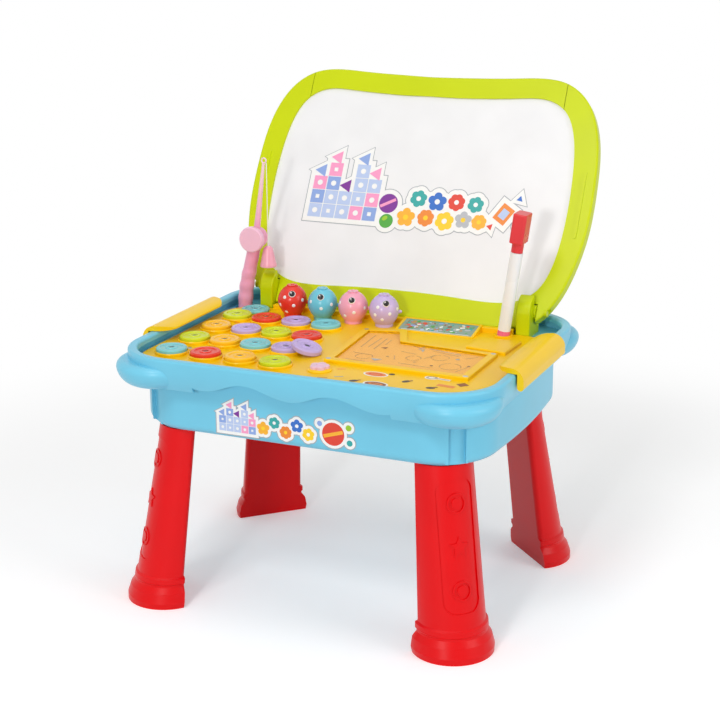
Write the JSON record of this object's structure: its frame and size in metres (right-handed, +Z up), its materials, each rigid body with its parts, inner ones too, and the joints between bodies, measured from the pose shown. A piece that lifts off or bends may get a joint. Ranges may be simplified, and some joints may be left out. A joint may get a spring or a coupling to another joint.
{
  "type": "childrens drawing table",
  "caption": "Childrens activity table: blue tub on red legs, yellow play board with fishing pieces and a framed picture window, hinged drawing board at the rear.",
  "frame": {"origin": "on the floor, below the middle of the whole table", "axes": "+Z up, +Y to the rear where the drawing board stands, +X to the right of a child who sits in front"},
  "size_m": [0.41, 0.4115, 0.4984],
  "materials": {
    "aqua_plastic": "satin gloss",
    "clear_plastic": "clear",
    "cord": "thin clear line",
    "felt": "matt",
    "lilac_plastic": "satin gloss",
    "lime_plastic": "satin gloss",
    "magnet_black": "matt",
    "pink_plastic": "satin gloss",
    "printed_card": "printed",
    "purple_plastic": "satin gloss",
    "red_cap_plastic": "satin gloss",
    "red_plastic": "satin gloss",
    "screw_steel": "satin",
    "sky_blue_plastic": "satin gloss",
    "teal_plastic": "satin gloss",
    "white_plastic": "satin gloss",
    "white_sheet": "smooth",
    "yellow_plastic": "satin gloss"
  },
  "bodies": {
    "table": {"flower_knob": "pink_plastic", "hinge_post_left": "lime_plastic", "hinge_post_right": "lime_plastic", "latch_pins": "screw_steel", "leg_front_left": "red_plastic", "leg_front_right": "red_plastic", "leg_rear_left": "red_plastic", "leg_rear_right": "red_plastic", "picture_strip": "printed_card", "play_board": "yellow_plastic", "post_screws": "screw_steel", "tub": "sky_blue_plastic", "window_card": "printed_card", "window_frame": "yellow_plastic", "window_screws": "screw_steel", "window_sheet": "clear_plastic"},
    "drawing_board": {"board_frame": "lime_plastic", "board_top_rail": "lime_plastic", "drawing_sheet": "white_sheet", "board_back": "white_plastic", "back_screws": "screw_steel", "hinge_pins": "lime_plastic"},
    "latch_right": {"side_latch_right": "yellow_plastic"},
    "latch_left": {"side_latch_left": "yellow_plastic"},
    "rod": {"fishing_rod": "pink_plastic"},
    "reel_wheel": {"reel": "pink_plastic"},
    "line_and_weight": {"fishing_line": "cord", "line_weight": "pink_plastic", "weight_magnet": "magnet_black"},
    "marker": {"marker_barrel": "white_plastic", "marker_plug": "pink_plastic", "marker_tip": "felt"},
    "cap": {"marker_cap": "red_cap_plastic"},
    "token_lime_14_body": {"token_lime_14": "lime_plastic"},
    "token_lime_21_body": {"token_lime_21": "lime_plastic"},
    "token_lime_33_body": {"token_lime_33": "lime_plastic"},
    "token_lime_41_body": {"token_lime_41": "lime_plastic"},
    "token_purple_24_body": {"token_purple_24": "purple_plastic", "token_purple_loose": "purple_plastic"},
    "token_purple_32_body": {"token_purple_32": "purple_plastic"},
    "token_purple_43_body": {"token_purple_43": "purple_plastic"},
    "token_red_12_body": {"token_red_12": "red_plastic"},
    "token_red_34_body": {"token_red_34": "red_plastic"},
    "token_red_42_body": {"token_red_42": "red_plastic"},
    "token_teal_11_body": {"token_teal_11": "teal_plastic"},
    "token_teal_23_body": {"token_teal_23": "teal_plastic"},
    "token_teal_44_body": {"token_teal_44": "teal_plastic"},
    "token_teal_flat_body": {"token_teal_flat": "teal_plastic"},
    "token_yellow_13_body": {"token_yellow_13": "yellow_plastic"},
    "token_yellow_22_body": {"token_yellow_22": "yellow_plastic"},
    "token_yellow_31_body": {"token_yellow_31": "yellow_plastic"},
    "bird_blue_body": {"bird_blue": "aqua_plastic"},
    "bird_lilac_body": {"bird_lilac": "lilac_plastic"},
    "bird_pink_body": {"bird_pink": "pink_plastic"},
    "bird_red_body": {"bird_red": "red_plastic"}
  },
  "joints": [
    {"name": "board_hinge", "type": "hinge", "parent": "table", "child": "drawing_board", "pos_m": [0, 0.0743, 0.273], "axis": [1, 0, 0], "range_deg": [0, 28]},
    {"name": "latch_right_hinge", "type": "hinge", "parent": "table", "child": "latch_right", "pos_m": [0.20175, -0.0467, 0.25055], "axis": [0, 1, 0], "range_deg": [0, 95]},
    {"name": "latch_left_hinge", "type": "hinge", "parent": "table", "child": "latch_left", "pos_m": [-0.20175, -0.0467, 0.25055], "axis": [0, -1, 0], "range_deg": [0, 95]},
    {"name": "token_lime_14_lift", "type": "slide", "parent": "table", "child": "token_lime_14_body", "axis": [0, 0, 1], "range_m": [0, 0.025]},
    {"name": "token_lime_21_lift", "type": "slide", "parent": "table", "child": "token_lime_21_body", "axis": [0, 0, 1], "range_m": [0, 0.025]},
    {"name": "token_lime_33_lift", "type": "slide", "parent": "table", "child": "token_lime_33_body", "axis": [0, 0, 1], "range_m": [0, 0.025]},
    {"name": "token_lime_41_lift", "type": "slide", "parent": "table", "child": "token_lime_41_body", "axis": [0, 0, 1], "range_m": [0, 0.025]},
    {"name": "token_purple_24_lift", "type": "slide", "parent": "table", "child": "token_purple_24_body", "axis": [0, 0, 1], "range_m": [0, 0.025]},
    {"name": "token_purple_32_lift", "type": "slide", "parent": "table", "child": "token_purple_32_body", "axis": [0, 0, 1], "range_m": [0, 0.025]},
    {"name": "token_purple_43_lift", "type": "slide", "parent": "table", "child": "token_purple_43_body", "axis": [0, 0, 1], "range_m": [0, 0.025]},
    {"name": "token_red_12_lift", "type": "slide", "parent": "table", "child": "token_red_12_body", "axis": [0, 0, 1], "range_m": [0, 0.025]},
    {"name": "token_red_34_lift", "type": "slide", "parent": "table", "child": "token_red_34_body", "axis": [0, 0, 1], "range_m": [0, 0.025]},
    {"name": "token_red_42_lift", "type": "slide", "parent": "table", "child": "token_red_42_body", "axis": [0, 0, 1], "range_m": [0, 0.025]},
    {"name": "token_teal_11_lift", "type": "slide", "parent": "table", "child": "token_teal_11_body", "axis": [0, 0, 1], "range_m": [0, 0.025]},
    {"name": "token_teal_23_lift", "type": "slide", "parent": "table", "child": "token_teal_23_body", "axis": [0, 0, 1], "range_m": [0, 0.025]},
    {"name": "token_teal_44_lift", "type": "slide", "parent": "table", "child": "token_teal_44_body", "axis": [0, 0, 1], "range_m": [0, 0.025]},
    {"name": "token_teal_flat_lift", "type": "slide", "parent": "table", "child": "token_teal_flat_body", "axis": [0, 0, 1], "range_m": [0, 0.025]},
    {"name": "token_yellow_13_lift", "type": "slide", "parent": "table", "child": "token_yellow_13_body", "axis": [0, 0, 1], "range_m": [0, 0.025]},
    {"name": "token_yellow_22_lift", "type": "slide", "parent": "table", "child": "token_yellow_22_body", "axis": [0, 0, 1], "range_m": [0, 0.025]},
    {"name": "token_yellow_31_lift", "type": "slide", "parent": "table", "child": "token_yellow_31_body", "axis": [0, 0, 1], "range_m": [0, 0.025]},
    {"name": "bird_blue_lift", "type": "slide", "parent": "table", "child": "bird_blue_body", "axis": [0, 0, 1], "range_m": [0, 0.025]},
    {"name": "bird_lilac_lift", "type": "slide", "parent": "table", "child": "bird_lilac_body", "axis": [0, 0, 1], "range_m": [0, 0.025]},
    {"name": "bird_pink_lift", "type": "slide", "parent": "table", "child": "bird_pink_body", "axis": [0, 0, 1], "range_m": [0, 0.025]},
    {"name": "bird_red_lift", "type": "slide", "parent": "table", "child": "bird_red_body", "axis": [0, 0, 1], "range_m": [0, 0.025]},
    {"name": "rod_lift", "type": "slide", "parent": "table", "child": "rod", "axis": [0, 0, 1], "range_m": [0, 0.03]},
    {"name": "reel_turn", "type": "hinge", "parent": "rod", "child": "reel_wheel", "pos_m": [-0.1595, 0.05731, 0.3293], "axis": [0, 1, 0], "continuous": true},
    {"name": "line_swing", "type": "hinge", "parent": "rod", "child": "line_and_weight", "pos_m": [-0.1451, 0.05731, 0.415], "axis": [-1, 0, 0], "range_deg": [-2, 2.5]},
    {"name": "marker_lift", "type": "slide", "parent": "table", "child": "marker", "axis": [0.1409, 0, 0.99], "range_m": [0, 0.03]},
    {"name": "cap_pull", "type": "slide", "parent": "marker", "child": "cap", "axis": [0.1409, 0, 0.99], "range_m": [0, 0.03]}
  ]
}
